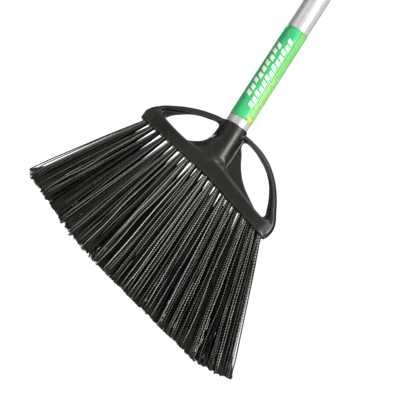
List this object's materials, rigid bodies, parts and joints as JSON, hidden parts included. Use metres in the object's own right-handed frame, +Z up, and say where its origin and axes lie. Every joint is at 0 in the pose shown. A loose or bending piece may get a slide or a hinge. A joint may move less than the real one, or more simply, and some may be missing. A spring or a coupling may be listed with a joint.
{
  "type": "angle broom",
  "caption": "Angle broom with a flared fan of black bristle tufts, a D-shaped open plastic head and a slanted silver handle that screws in.",
  "frame": {"origin": "on the tip of a tuft in the middle of the sweeping line, on the floor the broom stands on in use", "axes": "+X along the head towards the end that the handle leans away from, +Y from the front of the head to its back, +Z up, with the handle leaning 12 degrees towards -X"},
  "size_m": [0.4409, 0.0416, 1.3846],
  "materials": {
    "head_plastic": "satin",
    "bristle": "satin",
    "silver_steel": "satin",
    "tip_plastic": "satin",
    "cap_plastic": "satin",
    "label_film": "satin"
  },
  "bodies": {
    "head": {"head_frame": "head_plastic", "tuft_01_a": "bristle", "tuft_01_b": "bristle", "tuft_02_a": "bristle", "tuft_02_b": "bristle", "tuft_03_a": "bristle", "tuft_03_b": "bristle", "tuft_04_a": "bristle", "tuft_04_b": "bristle", "tuft_04_c": "bristle", "tuft_05_a": "bristle", "tuft_05_b": "bristle", "tuft_05_c": "bristle", "tuft_06_a": "bristle", "tuft_06_b": "bristle", "tuft_06_c": "bristle", "tuft_07_a": "bristle", "tuft_07_b": "bristle", "tuft_07_c": "bristle", "tuft_08_a": "bristle", "tuft_08_b": "bristle", "tuft_08_c": "bristle", "tuft_09_a": "bristle", "tuft_09_b": "bristle", "tuft_09_c": "bristle", "tuft_10_a": "bristle", "tuft_10_b": "bristle", "tuft_10_c": "bristle", "tuft_11_a": "bristle", "tuft_11_b": "bristle", "tuft_11_c": "bristle", "tuft_12_a": "bristle", "tuft_12_b": "bristle", "tuft_12_c": "bristle", "tuft_13_a": "bristle", "tuft_13_b": "bristle", "tuft_13_c": "bristle", "tuft_14_a": "bristle", "tuft_14_b": "bristle", "tuft_14_c": "bristle", "tuft_15_a": "bristle", "tuft_15_b": "bristle", "tuft_15_c": "bristle", "tuft_16_a": "bristle", "tuft_16_b": "bristle", "tuft_16_c": "bristle", "tuft_17_a": "bristle", "tuft_17_b": "bristle", "tuft_17_c": "bristle", "tuft_18_a": "bristle", "tuft_18_b": "bristle", "tuft_19_a": "bristle", "tuft_19_b": "bristle", "tuft_20_a": "bristle", "tuft_20_b": "bristle"},
    "handle_end": {"thread_tip": "tip_plastic"},
    "handle": {"handle_tube": "silver_steel", "hang_cap": "cap_plastic", "label_sleeve": "label_film"}
  },
  "joints": [
    {"name": "handle_lift", "type": "slide", "parent": "head", "child": "handle_end", "axis": [-0.2079, 0, 0.9781], "range_m": [0, 0.02545]},
    {"name": "handle_turn", "type": "hinge", "parent": "handle_end", "child": "handle", "pos_m": [-0.02326, 0, 0.14], "axis": [-0.2079, 0, 0.9781], "range_deg": [0, 1800]}
  ],
  "couplings": [
    {"joint": "handle_lift", "follows": "handle_turn", "m_per_rad": 0.00080851}
  ]
}
